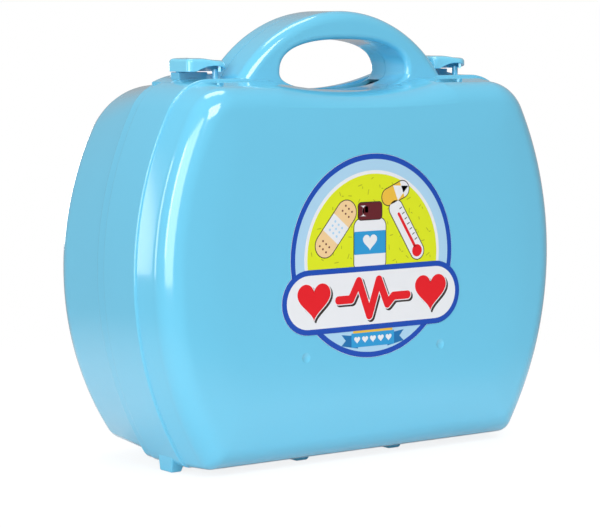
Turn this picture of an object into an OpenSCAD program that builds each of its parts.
/* [Case] */
// Width of the closed case where it is widest
case_w = 243.6; // [220:0.4:280]
// Depth of the closed case from front face to rear face
case_d = 100.6; // [90:0.2:130]
// Height of the flat top deck above the table
deck_z = 184.4; // [176:0.2:220]
// Height of the underside above the table
under_z = 3; // [2.8:0.1:4]
// Height at which the sides bulge most
widest_z = 93.4; // [85:0.2:105]
// Radius of the bowed sides, seen from the front
side_r = 165; // [150:1:200]
// Radius of the top shoulders, seen from the front
shoulder_r = 26; // [20:0.5:32]
// Radius of the bottom corners, seen from the front
corner_r = 7; // [5:0.5:12]
// Wall thickness of both shells
wall = 2.2; // [1.6:0.1:3]
// Gap between the two closed halves
parting_gap = 0.3; // [0.2:0.05:0.6]

/* [Rims and pillows] */
// Depth of the flat band at the mouth of the front shell
front_rim_d = 27.4; // [20:0.2:32]
// Depth of the flat band at the mouth of the rear shell
rear_rim_d = 7.5; // [5:0.1:12]
// How far the rear band stays inside the front band
rear_rim_inset = 1.3; // [0.5:0.1:2]
// Height of the step from the front band down to its pillow
pillow_step = 1.2; // [0.6:0.1:2.2]
// Height of the small step under the front pillow
front_base_step = 0.2; // [0.1:0.1:1]
// How far the front pillow's underside rises towards its face
front_base_rise = 0.2; // [0:0.1:1]
// Height of the step from the rear band down to the rear pillow
rear_step = 1; // [0.5:0.1:2.4]
// Extra step under the rear pillow, which gives the rear feet their room
rear_under = 1.2; // [0.4:0.1:2.4]
// How far the front pillow narrows towards its face
pillow_draft = 1.8; // [0.8:0.1:3]
// How far the rear pillow narrows towards its face
rear_draft = 0.6; // [0.3:0.1:2]
// How much rounder the shoulders get towards the rear face
rear_shoulder_more = 15; // [0:1:20]
// How much rounder the bottom corners get towards the rear face
rear_corner_more = 4; // [0:0.5:6]
// How much more the sides bow towards the rear face
rear_bow = 18.5; // [0:0.5:22]
// How much the top and the widest place sink towards the rear face
rear_sink = 1.3; // [0:0.1:2.5]
// Radius where the sides of a pillow turn into its face
face_edge_r = 12; // [8:0.5:14]
// Height of the crown on each face
face_crown = 1; // [0.4:0.1:2]
// Width of the crowned border around the flat middle of a face
crown_border = 20; // [14:1:24]
// Radius of the edges of both bands
rim_edge_r = 1; // [0.4:0.1:1.4]

/* [Handle] */
// Height of the handle's top above the table
handle_top_z = 216; // [210:0.5:222]
// Radius of the handle's outer arch, seen from the front
handle_r = 75.6; // [70:0.2:84]
// Distance from the parting plane back to the handle's rear face
handle_back = 3.5; // [2:0.1:6]
// Radius of the handle's outer edges
handle_edge_r = 5.5; // [3:0.5:6]
// Radius of the edges of the finger opening
grip_edge_r = 3; // [1.5:0.5:4]
// Half width of the finger opening
grip_half_w = 38.4; // [32:0.2:42]
// Height of the widest place of the finger opening
grip_z = 187; // [186:0.5:190]
// Rise of the finger opening above its widest place
grip_rise = 15.4; // [12:0.2:16]
// Depth of the finger dish below the widest place
grip_drop = 9; // [7:0.5:11]
// Roundness of the finger opening, where 2 is an ellipse
grip_power = 2.45; // [2:0.05:3]
// Half width of the finger scoops where they leave the opening
scoop_half_w = 46; // [44:0.5:50]
// How much wider the front scoop gets towards the face
front_scoop_flare = 8; // [0:1:12]
// How much wider the rear scoop gets towards the face
rear_scoop_flare = 18; // [0:1:20]
// How far the rear scoop sinks towards the rear face
rear_scoop_drop = 24; // [16:1:28]
// Flat length of the front scoop before it rolls down into the face
front_scoop_flat = 5.4; // [2:0.2:8]
// How far the front scoop sinks towards the face
front_scoop_drop = 12; // [8:0.5:18]

/* [Latch rail] */
// How far the rear shell's top rail reaches forward of the parting plane
rail_reach = 9.5; // [9:0.1:11]
// Height of the top rail above the deck
rail_h = 1.7; // [1:0.1:2.4]
// How far the top rail runs past the latches
rail_over = 3; // [2:0.5:6]

/* [Latches] */
// Length of a latch
latch_l = 24.5; // [22:0.5:26]
// Width of a latch, front to back
latch_w = 18.5; // [17:0.5:20]
// Height of a latch at its head
latch_h = 6.4; // [6:0.1:8]
// How much lower the tab is than the head
latch_slope = 1; // [0:0.1:1.4]
// Wall thickness of a latch
latch_wall = 1.5; // [1.2:0.1:1.8]
// Gap between a latch and the handle
latch_side_gap = 2.4; // [2:0.1:3.4]
// Gap between the top rail and a latch
latch_gap = 1.4; // [1:0.1:2]
// How far a latch's front edge stands forward of the parting plane
latch_front = 19.5; // [18:0.5:21]
// Rise of the arch in the front skirt of a latch
arch_rise = 2.7; // [2:0.1:3]
// Half width of that arch
arch_half_w = 10.5; // [9:0.5:11]
// Distance of a latch's pivot from its head end
pivot_in = 5; // [4.5:0.1:6]
// Distance of a latch's pivot forward of the parting plane
pivot_forward = 5.3; // [5:0.1:5.6]
// Radius of the pivot spindle
spindle_r = 2.5; // [2:0.1:2.6]
// Radial clearance of the spindle and of the hinge pins
running_fit = 0.06; // [0.03:0.01:0.09]
// Radius of the catch studs
stud_r = 1.5; // [1.2:0.1:1.6]
// Angle of a catch stud from its latch's length, about the pivot
stud_turn = 33.5; // [32:0.5:35]
// Clearance between a stud and the skirt and hook of its latch
stud_fit = 0.3; // [0.25:0.05:0.4]

/* [Hinges] */
// Distance of each hinge and foot from the middle of the case
hinge_x = 28.5; // [20:0.5:60]
// Height of the hinge axis above the table
hinge_z = 2.5; // [2.4:0.05:2.6]
// Outer radius of the hinge knuckles
knuckle_r = 2.4; // [2:0.05:2.4]
// Length of the middle knuckle of a hinge
knuckle_l = 10.7; // [8:0.1:14]
// Length of each outer knuckle
outer_knuckle_l = 6; // [4:0.5:8]
// Radius of the hinge pins
pin_r = 1.1; // [0.8:0.05:1.3]
// Clearance at the ends and round the outside of the knuckles
knuckle_gap = 0.4; // [0.3:0.05:0.6]

/* [Feet] */
// Distance of the corner feet in from the widest part of the case
corner_foot_in = 28.3; // [26:0.1:33]
// Width of a corner foot
corner_foot_w = 8.6; // [6:0.1:10]
// How far a corner foot reaches forward of the parting plane
corner_foot_front = 21.5; // [18:0.5:25]
// How far a middle foot reaches forward of the parting plane
middle_foot_front = 32; // [28:0.5:35]
// Distance of each rear foot from the middle of the case
rear_foot_x = 60; // [48:1:72]
// Width of a rear foot
rear_foot_w = 10; // [8:0.5:12]
// Depth of a rear foot
rear_foot_d = 7; // [6:0.5:8]
// Distance of the rear feet behind the parting plane
rear_foot_y = 24; // [20:0.5:27]

/* [Label] */
// Radius of the round part of the label
label_r = 49; // [40:0.5:52]
// Distance of the label to the left of the middle of the case
label_left = 1.2; // [0:0.1:3]
// Height of the middle of the round part
label_z = 99.4; // [97:0.1:101]
// Length of the name plate across the label
plate_l = 108; // [100:1:112]
// Height of the name plate
plate_h = 31; // [26:1:36]
// Height of the middle of the name plate
plate_z = 79.3; // [76:0.1:84]
// Thickness of the label sheet
label_t = 0.25; // [0.15:0.05:0.4]

/* [Instrument tray] */
// Width of the tray inside the front shell
tray_w = 124; // [110:1:140]
// Height of the tray
tray_h = 46; // [40:1:50]
// Depth of the tray
tray_d = 18; // [12:0.5:19]
// Wall thickness of the tray
tray_wall = 1.8; // [1.2:0.1:2.4]
// Distance of each tray boss from the middle of the case
boss_x = 41; // [30:0.5:46]
// Height of the tray bosses
boss_z = 53.3; // [50:0.1:56]
// Radius of the tray bosses
boss_r = 4; // [3.5:0.1:5]
// Gap between the tray's mouth and the parting plane
tray_back_gap = 6; // [4:0.5:8]
// Radius of the screw shanks
screw_r = 1.5; // [1.2:0.05:1.7]
// Length of the screws under their heads
screw_l = 10; // [8:0.5:14]
// Radius of the screw heads
head_r = 3; // [2.6:0.1:3.4]
// Height of the screw heads
head_h = 1.8; // [1.4:0.1:2.2]

/* [Hidden] */

shell_blue = [0.49, 0.78, 0.90];
latch_blue = [0.47, 0.77, 0.90];
steel_grey = [0.72, 0.73, 0.75];
label_white = [0.95, 0.96, 0.95];
tray_white = [0.93, 0.94, 0.94];

half_w = case_w / 2;
face_y = case_d / 2;
half_gap = parting_gap / 2;
cut = 1;
tiny = 0.1;
arc_steps = 9;
edge_steps = 6;
round_fn = 64;
small_fn = 40;

// Outline of the case seen from the front, moved inwards by inset, with its underside moved
// by a further under. back is 0 at the bands and 1 at the rear face, whose outline is rounder.
// It runs anticlockwise from the middle of the underside.
function arc_points(cx, cz, r, from, to) =
    [for (i = [0:arc_steps]) let (a = from + (to - from) * i / arc_steps)
        [cx + r * cos(a), cz + r * sin(a)]];
function outline(inset, under = 0, back = 0) =
    let (w = half_w - inset,
         top = deck_z - inset - back * rear_sink,
         base = under_z + inset + under,
         r = side_r - inset - back * rear_bow,
         rs = max(shoulder_r - inset + back * rear_shoulder_more, 4),
         rc = max(corner_r - inset / 4 + back * rear_corner_more, 4),
         mid_x = w - r,
         mid_z = widest_z - back * rear_sink,
         shoulder_z = top - rs,
         shoulder_x = mid_x + sqrt(pow(r - rs, 2) - pow(shoulder_z - mid_z, 2)),
         corner_z = base + rc,
         corner_x = mid_x + sqrt(pow(r - rc, 2) - pow(corner_z - mid_z, 2)),
         a_corner = atan2(corner_z - mid_z, corner_x - mid_x),
         a_shoulder = atan2(shoulder_z - mid_z, shoulder_x - mid_x),
         right = concat(arc_points(corner_x, corner_z, rc, -90, a_corner),
                        arc_points(mid_x, mid_z, r, a_corner * 0.9, a_shoulder * 0.9),
                        arc_points(shoulder_x, shoulder_z, rs, a_shoulder, 90)))
    concat(right, [for (i = [len(right) - 1:-1:0]) [-right[i][0], right[i][1]]]);

// A closed solid through a row of rings, each [y, points], from the lowest y to the highest
function ring_points(rings) = [for (ring = rings) for (p = ring[1]) [p[0], ring[0], p[1]]];
function ring_faces(count, n) = concat(
    [[for (j = [n - 1:-1:0]) j]],
    [for (i = [0:count - 2]) for (j = [0:n - 1]) let (k = (j + 1) % n)
        [i * n + j, i * n + k, (i + 1) * n + k]],
    [for (i = [0:count - 2]) for (j = [0:n - 1]) let (k = (j + 1) % n)
        [i * n + j, (i + 1) * n + k, (i + 1) * n + j]],
    [[for (j = [0:n - 1]) (count - 1) * n + j]]);
module loft(rings) {
    polyhedron(ring_points(rings), ring_faces(len(rings), len(rings[0][1])), convexity = 8);
}

// Steps of a quarter round: [inset, distance from the face] for radius r
function quarter(r) = [for (i = [0:edge_steps]) let (a = 90 * i / edge_steps)
    [r * (1 - cos(a)), r * (1 - sin(a))]];

// Face of a pillow: its rings from the flat middle out to the side, as [depth, inset]
function face_rings(side_inset, r) =
    let (edge = side_inset + r, round = quarter(r))
    concat([[0, edge + crown_border],
            [face_crown * 0.3, edge + crown_border * 0.5]],
           [for (i = [edge_steps:-1:0]) [face_crown + round[i][1], side_inset + round[i][0]]]);

// Front shell, outside
front_under = front_base_step - pillow_step;
face_under = front_under + front_base_rise - pillow_draft;
function front_pillow(skin) =
    [for (ring = face_rings(pillow_step + pillow_draft + skin, face_edge_r - skin))
        [-face_y + skin + ring[0], outline(ring[1], face_under)]];
module front_body() {
    loft(concat(front_pillow(0),
                [[-front_rim_d + tiny, outline(pillow_step, front_under)]]));
    loft([[-front_rim_d, outline(rim_edge_r)],
          [-front_rim_d + rim_edge_r * 0.3, outline(rim_edge_r * 0.3)],
          [-front_rim_d + rim_edge_r, outline(0)],
          [-rim_edge_r - half_gap, outline(0)],
          [-rim_edge_r * 0.3 - half_gap, outline(rim_edge_r * 0.3)],
          [-half_gap, outline(rim_edge_r)]]);
}
module front_cavity() {
    loft(concat(front_pillow(wall),
                [[-front_rim_d + wall, outline(pillow_step + wall, front_under)],
                 [-front_rim_d + wall + tiny, outline(wall)],
                 [cut, outline(wall)]]));
}

// Rear shell, outside
rear_pillow_inset = rear_rim_inset + rear_step;
function rear_pillow(skin) =
    let (rings = face_rings(rear_pillow_inset + rear_draft + skin, face_edge_r - skin))
    [for (i = [len(rings) - 1:-1:0])
        [face_y - skin - rings[i][0], outline(rings[i][1], rear_under, 1)]];
module rear_body() {
    loft(concat([[rear_rim_d - tiny, outline(rear_pillow_inset, rear_under)]], rear_pillow(0)));
    loft([[half_gap, outline(rear_rim_inset + rim_edge_r, -rear_rim_inset)],
          [half_gap + rim_edge_r * 0.3, outline(rear_rim_inset + rim_edge_r * 0.3, -rear_rim_inset)],
          [half_gap + rim_edge_r, outline(rear_rim_inset, -rear_rim_inset)],
          [rear_rim_d - rim_edge_r, outline(rear_rim_inset, -rear_rim_inset)],
          [rear_rim_d - rim_edge_r * 0.3, outline(rear_rim_inset + rim_edge_r * 0.3, -rear_rim_inset)],
          [rear_rim_d, outline(rear_rim_inset + rim_edge_r, -rear_rim_inset)]]);
}
module rear_cavity() {
    loft(concat([[-cut, outline(rear_rim_inset + wall, -rear_rim_inset)],
                 [rear_rim_d - wall - tiny, outline(rear_rim_inset + wall, -rear_rim_inset)],
                 [rear_rim_d - wall, outline(rear_pillow_inset + wall, rear_under)]],
                rear_pillow(wall)));
}

// Handle: an arch of constant radius that reaches down into the deck, and the finger opening
handle_mid_z = handle_top_z - handle_r;
handle_foot_z = deck_z - wall;
handle_steps = 36;
function arch(inset) =
    let (r = handle_r - inset,
         foot = acos((handle_foot_z - handle_mid_z) / r))
    [for (i = [0:handle_steps]) let (a = 90 - foot + 2 * foot * i / handle_steps)
        [r * cos(a), handle_mid_z + r * sin(a)]];
grip_steps = 48;
function power_of(v) = sign(v) * pow(abs(v), 2 / grip_power);
function grip(grow, drop) =
    [for (i = [0:grip_steps - 1]) let (a = 360 * i / grip_steps)
        [(grip_half_w + grow) * power_of(cos(a)),
         grip_z + (sin(a) > 0 ? grip_rise + grow : grip_drop + drop) * power_of(sin(a))]];

handle_parting = -rail_reach;
// Half width of the handle's outer arch at height z
function handle_half_w(z) = sqrt(pow(handle_r, 2) - pow(z - handle_mid_z, 2));
module front_handle() {
    loft(concat([for (i = [edge_steps:-1:0]) let (step = quarter(handle_edge_r)[i])
                    [-front_rim_d + step[1], arch(step[0])]],
                [[handle_parting - half_gap, arch(0)]]));
}
module rear_handle() {
    loft(concat([[handle_parting + half_gap, arch(0)]],
                [for (i = [0:edge_steps]) let (step = quarter(handle_edge_r)[i])
                    [handle_back - step[1], arch(step[0])]]));
}
module front_handle_cavity() {
    loft([[-front_rim_d + wall, arch(wall + handle_edge_r * 0.4)],
          [-front_rim_d + handle_edge_r, arch(wall)],
          [handle_parting + cut, arch(wall)]]);
}
module rear_handle_cavity() {
    loft([[handle_parting - cut, arch(wall)],
          [handle_back - handle_edge_r, arch(wall)],
          [handle_back - wall, arch(wall + handle_edge_r * 0.4)]]);
}

// The finger opening through the handle, and the scoops that carry its floor out over both
// pillows. skin grows them by a wall, for the material that stays around them.
module grip_opening(skin) {
    round = quarter(grip_edge_r);
    loft(concat(
        [[-front_rim_d - tiny, grip(grip_edge_r + skin, skin)]],
        [for (i = [edge_steps:-2:0])
            [-front_rim_d + round[i][1], grip(round[i][0] + skin, skin)]],
        [for (i = [0:2:edge_steps])
            [handle_back - round[i][1], grip(round[i][0] + skin, skin)]],
        [[handle_back + tiny, grip(grip_edge_r + skin, skin)]]));
    front_scoop(skin);
    rear_scoop(skin);
}

// Height of the top of a pillow at a distance y from the parting plane, where rim is the depth of
// its band and step, draft and sink say how it comes down to the round edge of the face
function pillow_top(y, rim, step, draft) =
    let (edge_y = face_y - face_crown - face_edge_r,
         over = min(max(y - edge_y, 0), face_edge_r),
         t = min(max((y - rim) / (edge_y - rim), 0), 1))
    deck_z - step - draft * t - face_edge_r + sqrt(pow(face_edge_r, 2) - pow(over, 2));
// Ring of a scoop: a shallow bowl between the pillow's top and the floor, open upwards
scoop_points = 12;
function scoop_ring(half, top, floor_z) =
    concat([for (i = [0:scoop_points]) let (u = 2 * i / scoop_points - 1)
               [half * u, top - (top - floor_z) * (1 - u * u)]],
           [[half, handle_top_z], [-half, handle_top_z]]);
scoop_steps = 8;
function scoop_rings(from, depth, drop, flare, skin, rim, step, draft) =
    [for (i = [0:scoop_steps]) let (a = 90 * i / scoop_steps, y = from + depth * sin(a))
        [from + (depth - skin) * sin(a),
         scoop_ring(scoop_half_w + skin + flare * sin(a),
                    pillow_top(y, rim, step, draft) - skin,
                    grip_z - grip_drop - drop + (drop - skin) * cos(a))]];
module front_scoop(skin) {
    from = front_rim_d + front_scoop_flat;
    depth = face_y - from;
    rings = scoop_rings(from, depth, front_scoop_drop, front_scoop_flare, skin, front_rim_d,
                        pillow_step, pillow_draft);
    flat = scoop_ring(scoop_half_w + skin, deck_z - pillow_step - skin,
                      grip_z - grip_drop - skin);
    loft(concat([for (i = [scoop_steps:-1:0]) [-rings[i][0], rings[i][1]]],
                [[-front_rim_d, flat]]));
}
module rear_scoop(skin) {
    rings = scoop_rings(rear_rim_d, face_y - rear_rim_d, rear_scoop_drop, rear_scoop_flare, skin,
                        rear_rim_d, rear_pillow_inset, rear_draft + rear_sink);
    rail = scoop_ring(scoop_half_w + skin, deck_z + rail_h - skin, grip_z - grip_drop - skin);
    loft(concat([[handle_back, rail], [rear_rim_d - tiny, rail]], rings));
}

// Places along the top: the latches stand just outside the handle, and the rail runs past them
latch_base_z = deck_z + rail_h + latch_gap;
latch_far_x = handle_half_w(latch_base_z) + latch_side_gap + latch_l;
rail_half_l = latch_far_x + rail_over;

// Top rail of the rear shell: the outline raised by rail_h, which fades out at the shoulders
function fade(x) = let (t = min(max((rail_half_l - abs(x)) / 16, 0), 1)) t * t * (3 - 2 * t);
function raised(points) = [for (p = points) [p[0], p[1] + (p[1] > widest_z ? rail_h * fade(p[0]) : 0)]];
module rail_section(grow) {
    intersection() {
        difference() {
            polygon(raised(outline(0)));
            polygon(outline(wall));
        }
        translate([-rail_half_l - grow, shoulder_base_z])
            square([2 * (rail_half_l + grow), deck_z]);
    }
}
shoulder_base_z = deck_z - shoulder_r;
module along_y(from, to) {
    translate([0, to, 0]) rotate([90, 0, 0]) linear_extrude(to - from, convexity = 6) children();
}
module rail() {
    along_y(handle_parting + half_gap, rear_rim_d) rail_section(0);
}
// Space that the rail takes out of the front shell
module rail_space() {
    translate([-rail_half_l - parting_gap, handle_parting - half_gap, shoulder_base_z])
        cube([2 * (rail_half_l + parting_gap), rail_reach + cut, deck_z]);
}

// Hinges, on an axis along X
module along_x(x, l, r, fn = small_fn) {
    translate([x, 0, hinge_z]) rotate([0, 90, 0]) cylinder(h = l, r = r, $fn = fn);
}
middle_from = -knuckle_l / 2;
outer_from = knuckle_l / 2 + knuckle_gap;
hinge_half_l = outer_from + outer_knuckle_l;
block_d = 6;
block_h = 5;
module at_hinges() {
    for (side = [-1, 1]) translate([side * hinge_x, 0, 0]) children();
}
module hinge_block(y) {
    translate([-hinge_half_l - wall, y, under_z]) cube([2 * (hinge_half_l + wall), block_d, block_h]);
}
module middle_knuckle(extra = 0) {
    along_x(middle_from - extra, knuckle_l + 2 * extra, knuckle_r + extra);
}
module outer_knuckles(extra = 0) {
    for (from = [outer_from, -outer_from - outer_knuckle_l])
        along_x(from - extra, outer_knuckle_l + 2 * extra, knuckle_r + extra);
}
module pin_bore() {
    along_x(-hinge_half_l - cut, 2 * (hinge_half_l + cut), pin_r + running_fit);
}

// Feet: tapered lugs under the case, sunk into its underside
front_foot_back = 9;
foot_taper = 2;
foot_depth_in = corner_r + pillow_step;
corner_foot_lean = 0.8;
// A lug with its foot on the table, from x0 to x1 and y0 to y1 at its root, which is h above
// the table. The taper draws its foot in, and lean moves the outer edge of its foot inwards.
module lug(x0, x1, y0, y1, h, lean = foot_taper) {
    low_y = y0 + foot_taper;
    high_y = y1 - foot_taper / 4;
    polyhedron([[x0 + foot_taper, low_y, 0], [x1 - lean, low_y, 0],
                [x1 - lean, high_y, 0], [x0 + foot_taper, high_y, 0],
                [x0, y0, h], [x1, y0, h], [x1, y1, h], [x0, y1, h]],
               [[0, 1, 2, 3], [4, 5, 1, 0], [5, 6, 2, 1], [6, 7, 3, 2], [7, 4, 0, 3],
                [7, 6, 5, 4]]);
}
module both_sides() {
    children();
    mirror([1, 0, 0]) children();
}
corner_x0 = half_w - corner_foot_in - corner_foot_w / 2;
module front_feet() {
    both_sides() {
        lug(hinge_x - knuckle_l / 2, hinge_x + knuckle_l / 2,
            -middle_foot_front, -front_foot_back, under_z + wall / 2);
        lug(corner_x0, corner_x0 + corner_foot_w, -corner_foot_front, -front_foot_back,
            foot_depth_in, corner_foot_lean);
    }
}
module rear_feet() {
    both_sides() lug(rear_foot_x - rear_foot_w / 2, rear_foot_x + rear_foot_w / 2,
                     rear_foot_y, rear_foot_y + rear_foot_d, foot_depth_in);
}
// Pockets under the front shell, which take the rear feet when the case lies wide open, and the
// pads inside it that they are sunk into
pocket_fit = 0.5;
pocket_top_z = 2 * hinge_z + pocket_fit;
pocket_w = rear_foot_w - foot_taper;
module under_front(grow, from_z, to_z) {
    y_far = rear_foot_y + rear_foot_d + pocket_fit / 2 + grow;
    both_sides() translate([rear_foot_x - pocket_w / 2 - grow, -y_far, from_z])
        cube([pocket_w + 2 * grow, rear_foot_d - foot_taper / 2 + pocket_fit + 2 * grow, to_z - from_z]);
}
module foot_pads() {
    under_front(wall, under_z + wall / 2, pocket_top_z + wall);
}
module foot_pockets() {
    under_front(0, -cut, pocket_top_z);
}

// Bosses for the tray, and the shallow sink marks that they leave on the front face
tray_floor_y = -tray_back_gap - tray_d;
boss_fit = 0.05;
sink_r = 3;
sink_depth = 0.25;
sink_ball_r = (sink_r * sink_r + sink_depth * sink_depth) / (2 * sink_depth);
module at_bosses(y) {
    for (side = [-1, 1]) translate([side * boss_x, y, boss_z]) children();
}
module bosses() {
    at_bosses(tray_floor_y) rotate([90, 0, 0])
        cylinder(h = face_y + tray_floor_y - wall / 2, r = boss_r, $fn = small_fn);
}
module boss_bores() {
    at_bosses(tray_floor_y + cut) rotate([90, 0, 0])
        cylinder(h = screw_l + cut, r = screw_r + boss_fit, $fn = small_fn);
}
module sink_marks() {
    at_bosses(-face_y + sink_depth - sink_ball_r) sphere(r = sink_ball_r, $fn = round_fn);
}

// Label: a disc and a name plate with round ends, in one sheet
module label_shape(grow = 0) {
    translate([-label_left, label_z]) circle(r = label_r + grow, $fn = 128);
    translate([-label_left, plate_z]) {
        square([plate_l - plate_h, plate_h + 2 * grow], center = true);
        for (side = [-1, 1]) translate([side * (plate_l - plate_h) / 2, 0])
            circle(r = plate_h / 2 + grow, $fn = round_fn);
    }
}
module label_recess() {
    along_y(-face_y - cut, -face_y + label_t) label_shape(tiny);
}

// Latches. Each is drawn with its pivot at x = 0, y = 0, and its tab along +X.
pivots_x = [-latch_far_x + pivot_in, latch_far_x - latch_l + pivot_in];
stud_top_z = latch_base_z + arch_rise / 2;
stud_distance = latch_front - pivot_forward + stud_r + stud_fit;
stud_along = stud_distance * cos(stud_turn);
stud_forward = stud_distance * sin(stud_turn);
tip_r = latch_w * 0.45;
head_corner_r = 2.6;
latch_front_y = -latch_front + pivot_forward;
latch_back_y = latch_front_y + latch_w;
plan_steps = 8;
function plan_arc(cx, cy, r, from, inset) =
    [for (i = [0:plan_steps]) let (a = from + 90 * i / plan_steps)
        [cx + (r - inset) * cos(a), cy + (r - inset) * sin(a)]];
// Plan of a latch, moved inwards by inset: square head at -X, round tab at +X
function plan(inset) =
    let (x0 = -pivot_in, x1 = latch_l - pivot_in, rh = max(head_corner_r, inset + 0.4))
    concat(plan_arc(x1 - tip_r, latch_front_y + tip_r, tip_r, -90, inset),
           plan_arc(x1 - tip_r, latch_back_y - tip_r, tip_r, 0, inset),
           plan_arc(x0 + rh, latch_back_y - rh, rh, 90, inset),
           plan_arc(x0 + rh, latch_front_y + rh, rh, 180, inset));
// A level of a latch: its plan, with the tab lower than the head by slope
function lower(x, slope) =
    let (t = min(max((x + pivot_in - 8) / 10, 0), 1)) -slope * t * t * (3 - 2 * t);
function level(z, inset, slope) = [for (p = plan(inset)) [p[0], p[1], z + lower(p[0], slope)]];
function level_faces(count, n) = concat(
    [[for (j = [0:n - 1]) j]],
    [for (i = [0:count - 2]) for (j = [0:n - 1]) let (k = (j + 1) % n)
        [i * n + j, (i + 1) * n + k, i * n + k]],
    [for (i = [0:count - 2]) for (j = [0:n - 1]) let (k = (j + 1) % n)
        [i * n + j, (i + 1) * n + j, (i + 1) * n + k]],
    [[for (j = [n - 1:-1:0]) (count - 1) * n + j]]);
module stack(levels) {
    polyhedron([for (l = levels) for (p = l) p], level_faces(len(levels), len(levels[0])),
               convexity = 6);
}
latch_top_z = latch_base_z + latch_h;
roof_z = latch_top_z - latch_slope - latch_wall;
arch_x = latch_l - pivot_in - arch_half_w + 1;
arch_r = (arch_half_w * arch_half_w + arch_rise * arch_rise) / (2 * arch_rise);
module latch() {
    difference() {
        stack([level(latch_base_z, 0, 0),
               level(latch_top_z - 2.2, 0, latch_slope),
               level(latch_top_z - 0.9, 0.6, latch_slope),
               level(latch_top_z - 0.3, 1.8, latch_slope),
               level(latch_top_z, 4, latch_slope)]);
        stack([level(latch_base_z - cut, latch_wall, 0), level(roof_z, latch_wall, 0)]);
        translate([arch_x, latch_front_y + tip_r, latch_base_z + arch_rise - arch_r])
            rotate([90, 0, 0]) cylinder(h = tip_r + cut, r = arch_r, $fn = round_fn);
    }
    translate([0, 0, spindle_base_z])
        cylinder(h = roof_z - spindle_base_z + latch_wall / 2, r = spindle_r, $fn = small_fn);
    hook();
}
// Hook under the roof, an arc about the pivot that closes in front of the catch stud
hook_sweep = 22;
hook_t = 1.2;
module hook() {
    translate([0, 0, latch_base_z]) rotate([0, 0, -stud_turn - hook_sweep / 2])
        rotate_extrude(angle = hook_sweep, $fn = round_fn)
            translate([stud_distance + stud_r + stud_fit, 0])
                square([hook_t, latch_h - latch_slope - latch_wall / 2]);
}
spindle_base_z = deck_z - wall - parting_gap;
latch_screw_l = 6;
latch_screw_r = 1.1;
latch_screw_head_r = 3.4;
latch_screw_head_h = 1.6;
module latch_with_bore() {
    difference() {
        latch();
        translate([0, 0, spindle_base_z - cut])
            cylinder(h = latch_screw_l + cut, r = latch_screw_r + boss_fit, $fn = small_fn);
    }
}
module latch_screw() {
    translate([0, 0, spindle_base_z - latch_screw_head_h])
        cylinder(h = latch_screw_head_h, r = latch_screw_head_r, $fn = small_fn);
    translate([0, 0, spindle_base_z - tiny])
        cylinder(h = latch_screw_l - tiny, r = latch_screw_r, $fn = small_fn);
}
module at_pivot(side) {
    translate([pivots_x[side], -pivot_forward, 0]) children();
}
// Height of the top of the front shell at x
function deck_at(x) =
    let (from_shoulder = max(abs(x) - shoulder_mid_x, 0))
    deck_z - shoulder_r + sqrt(pow(shoulder_r, 2) - pow(from_shoulder, 2));
shoulder_mid_x = half_w - side_r
    + sqrt(pow(side_r - shoulder_r, 2) - pow(deck_z - shoulder_r - widest_z, 2));
module studs() {
    for (side = [0, 1]) {
        root_z = deck_at(abs(pivots_x[side] + stud_along) + stud_r) - wall;
        at_pivot(side) translate([stud_along, -stud_forward, root_z])
            cylinder(h = stud_top_z - root_z, r = stud_r, $fn = small_fn);
    }
}
// Flat seats for the heads of the latch screws, under the top rail
screw_seat_fit = 0.4;
module screw_seats() {
    for (side = [0, 1]) at_pivot(side) translate([0, 0, deck_z - 2 * wall])
        cylinder(h = wall, r = latch_screw_head_r + screw_seat_fit, $fn = small_fn);
}
module spindle_bores() {
    for (side = [0, 1]) at_pivot(side) translate([0, 0, deck_z - wall - cut])
        cylinder(h = latch_base_z - deck_z + wall + 2 * cut, r = spindle_r + running_fit,
                 $fn = small_fn);
}
// Low seats on the top rail, which the latches turn over
seat_in = 1.2;
module latch_seats() {
    for (side = [0, 1]) at_pivot(side)
        translate([seat_in - pivot_in, half_gap - rail_reach + pivot_forward, deck_z - wall / 2])
            cube([latch_l - tip_r, latch_back_y - seat_in + rail_reach - pivot_forward - half_gap,
                  latch_base_z - parting_gap - deck_z + wall / 2]);
}

module front_shell() {
    color(shell_blue) difference() {
        union() {
            difference() {
                union() {
                    front_body();
                    front_handle();
                }
                difference() {
                    union() {
                        front_cavity();
                        front_handle_cavity();
                    }
                    grip_opening(wall);
                }
                grip_opening(0);
                rail_space();
            }
            at_hinges() hinge_block(-half_gap - block_d);
            at_hinges() middle_knuckle();
            front_feet();
            foot_pads();
            bosses();
            studs();
        }
        at_hinges() outer_knuckles(knuckle_gap);
        at_hinges() pin_bore();
        foot_pockets();
        boss_bores();
        label_recess();
        sink_marks();
    }
}

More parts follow.
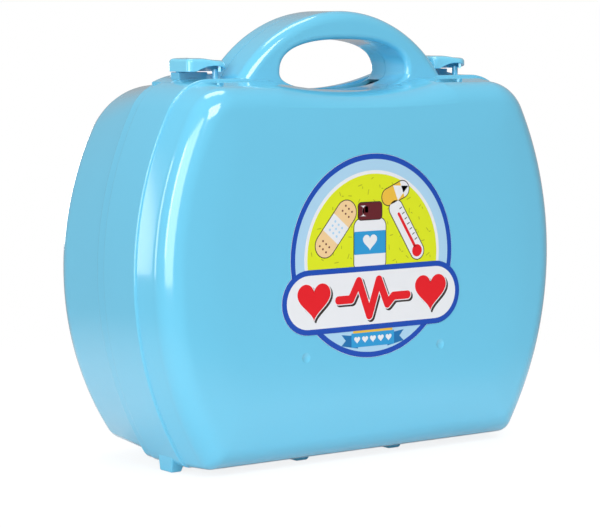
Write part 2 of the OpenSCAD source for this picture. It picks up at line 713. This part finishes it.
module rear_shell() {
    color(shell_blue) difference() {
        union() {
            difference() {
                union() {
                    rear_body();
                    rear_handle();
                    rail();
                    latch_seats();
                }
                difference() {
                    union() {
                        rear_cavity();
                        rear_handle_cavity();
                    }
                    grip_opening(wall);
                }
                grip_opening(0);
            }
            at_hinges() hinge_block(half_gap);
            at_hinges() outer_knuckles();
            rear_feet();
        }
        at_hinges() middle_knuckle(knuckle_gap);
        at_hinges() pin_bore();
        spindle_bores();
        screw_seats();
    }
}

module left_latch() {
    color(latch_blue) at_pivot(0) latch_with_bore();
}
module right_latch() {
    color(latch_blue) at_pivot(1) latch_with_bore();
}
module left_latch_screw() {
    color(steel_grey) at_pivot(0) latch_screw();
}
module right_latch_screw() {
    color(steel_grey) at_pivot(1) latch_screw();
}

module hinge_pin() {
    along_x(-hinge_half_l, 2 * hinge_half_l, pin_r);
}
module left_hinge_pin() {
    color(steel_grey) translate([-hinge_x, 0, 0]) hinge_pin();
}
module right_hinge_pin() {
    color(steel_grey) translate([hinge_x, 0, 0]) hinge_pin();
}

module front_label() {
    color(label_white) along_y(-face_y, -face_y + label_t) label_shape();
}

tray_z = boss_z - tray_h / 2;
module instrument_tray() {
    color(tray_white) difference() {
        translate([-tray_w / 2, tray_floor_y, tray_z]) cube([tray_w, tray_d, tray_h]);
        translate([-tray_w / 2 + tray_wall, tray_floor_y + tray_wall, tray_z + tray_wall])
            cube([tray_w - 2 * tray_wall, tray_d, tray_h - 2 * tray_wall]);
        at_bosses(tray_floor_y + tray_wall + cut) rotate([90, 0, 0])
            cylinder(h = tray_wall + 2 * cut, r = screw_r + 2 * tiny, $fn = small_fn);
    }
}
module tray_screws() {
    color(steel_grey) at_bosses(tray_floor_y + tray_wall + head_h) rotate([90, 0, 0]) {
        cylinder(h = head_h, r = head_r, $fn = small_fn);
        cylinder(h = head_h + tray_wall + screw_l - cut, r = screw_r, $fn = small_fn);
    }
}

front_shell();
rear_shell();
left_latch();
right_latch();
left_latch_screw();
right_latch_screw();
left_hinge_pin();
right_hinge_pin();
front_label();
instrument_tray();
tray_screws();
